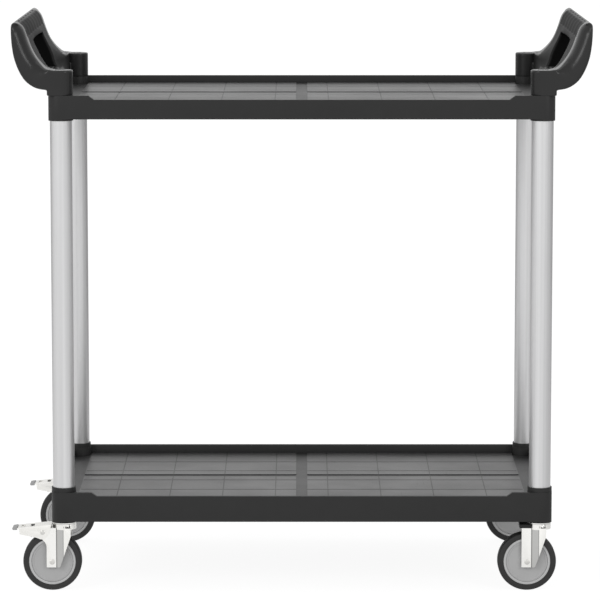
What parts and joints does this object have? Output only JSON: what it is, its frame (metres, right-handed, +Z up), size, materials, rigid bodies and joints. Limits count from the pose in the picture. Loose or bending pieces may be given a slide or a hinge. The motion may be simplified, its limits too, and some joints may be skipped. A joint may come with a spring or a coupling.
{
  "type": "food service trolley",
  "caption": "Two-shelf food service trolley with moulded black trays, upright aluminium tubes, a curved push handle at each end and swivel casters, the left pair with foot brakes.",
  "frame": {"origin": "floor level, under the middle of the trolley", "axes": "+X along the trolley towards the end whose casters have no brakes, +Y towards the back, away from the side with the lowered rims, +Z up"},
  "size_m": [0.9315, 0.46, 0.9215],
  "materials": {
    "tray_plastic": "fine-grained satin",
    "handle_plastic": "fine-grained satin",
    "tube_aluminium": "satin anodised",
    "zinc_plate": "bright zinc plated",
    "fastener_steel": "zinc plated",
    "hub_plastic": "satin",
    "cover_plastic": "satin",
    "tip_plastic": "satin",
    "tyre_rubber": "matt",
    "brake_rubber": "matt",
    "plug_nylon": "natural"
  },
  "bodies": {
    "frame": {"upper_tray": "tray_plastic", "lower_tray": "tray_plastic", "tube_front_left": "tube_aluminium", "tube_front_right": "tube_aluminium", "tube_rear_left": "tube_aluminium", "tube_rear_right": "tube_aluminium", "handle_left": "handle_plastic", "handle_right": "handle_plastic", "handle_screws": "fastener_steel", "screw_caps": "handle_plastic", "tube_top_plugs": "plug_nylon", "tube_bottom_plugs": "plug_nylon", "tube_foot_screws": "fastener_steel", "caster_inserts": "fastener_steel", "caster_stems": "fastener_steel", "caster_top_races": "zinc_plate"},
    "swivel_fl": {"fork_fl": "zinc_plate", "bearing_balls_fl": "fastener_steel", "axle_sleeve_fl": "fastener_steel", "axle_bolt_fl": "fastener_steel", "axle_nut_fl": "fastener_steel", "brake_pin_fl": "fastener_steel", "brake_spring_fl": "fastener_steel"},
    "wheel_fl": {"hub_fl": "hub_plastic", "hub_covers_fl": "hub_plastic", "tyre_fl": "tyre_rubber"},
    "pedal_fl": {"brake_pedal_fl": "zinc_plate", "brake_tip_fl": "tip_plastic", "brake_shoe_fl": "brake_rubber"},
    "swivel_fr": {"fork_fr": "zinc_plate", "bearing_balls_fr": "fastener_steel", "axle_sleeve_fr": "fastener_steel", "axle_bolt_fr": "fastener_steel", "axle_nut_fr": "fastener_steel", "fork_cover_fr": "cover_plastic"},
    "wheel_fr": {"hub_fr": "hub_plastic", "hub_covers_fr": "hub_plastic", "tyre_fr": "tyre_rubber"},
    "swivel_rl": {"fork_rl": "zinc_plate", "bearing_balls_rl": "fastener_steel", "axle_sleeve_rl": "fastener_steel", "axle_bolt_rl": "fastener_steel", "axle_nut_rl": "fastener_steel", "brake_pin_rl": "fastener_steel", "brake_spring_rl": "fastener_steel"},
    "wheel_rl": {"hub_rl": "hub_plastic", "hub_covers_rl": "hub_plastic", "tyre_rl": "tyre_rubber"},
    "pedal_rl": {"brake_pedal_rl": "zinc_plate", "brake_tip_rl": "tip_plastic", "brake_shoe_rl": "brake_rubber"},
    "swivel_rr": {"fork_rr": "zinc_plate", "bearing_balls_rr": "fastener_steel", "axle_sleeve_rr": "fastener_steel", "axle_bolt_rr": "fastener_steel", "axle_nut_rr": "fastener_steel", "fork_cover_rr": "cover_plastic"},
    "wheel_rr": {"hub_rr": "hub_plastic", "hub_covers_rr": "hub_plastic", "tyre_rr": "tyre_rubber"}
  },
  "joints": [
    {"name": "swivel_fl", "type": "hinge", "parent": "frame", "child": "swivel_fl", "pos_m": [-0.385, -0.198, 0.1068], "axis": [0, 0, 1], "continuous": true},
    {"name": "wheel_spin_fl", "type": "hinge", "parent": "swivel_fl", "child": "wheel_fl", "pos_m": [-0.4047, -0.198, 0.0475], "axis": [0, 1, 0], "continuous": true},
    {"name": "brake_pedal_fl", "type": "hinge", "parent": "swivel_fl", "child": "pedal_fl", "pos_m": [-0.4199, -0.198, 0.0964], "axis": [0, -1, 0], "range_deg": [0, 13]},
    {"name": "swivel_fr", "type": "hinge", "parent": "frame", "child": "swivel_fr", "pos_m": [0.385, -0.198, 0.1068], "axis": [0, 0, 1], "continuous": true},
    {"name": "wheel_spin_fr", "type": "hinge", "parent": "swivel_fr", "child": "wheel_fr", "pos_m": [0.3653, -0.198, 0.0475], "axis": [0, 1, 0], "continuous": true},
    {"name": "swivel_rl", "type": "hinge", "parent": "frame", "child": "swivel_rl", "pos_m": [-0.385, 0.198, 0.1068], "axis": [0, 0, 1], "continuous": true},
    {"name": "wheel_spin_rl", "type": "hinge", "parent": "swivel_rl", "child": "wheel_rl", "pos_m": [-0.4047, 0.198, 0.0475], "axis": [0, 1, 0], "continuous": true},
    {"name": "brake_pedal_rl", "type": "hinge", "parent": "swivel_rl", "child": "pedal_rl", "pos_m": [-0.4199, 0.198, 0.0964], "axis": [0, -1, 0], "range_deg": [0, 13]},
    {"name": "swivel_rr", "type": "hinge", "parent": "frame", "child": "swivel_rr", "pos_m": [0.385, 0.198, 0.1068], "axis": [0, 0, 1], "continuous": true},
    {"name": "wheel_spin_rr", "type": "hinge", "parent": "swivel_rr", "child": "wheel_rr", "pos_m": [0.3653, 0.198, 0.0475], "axis": [0, 1, 0], "continuous": true}
  ]
}
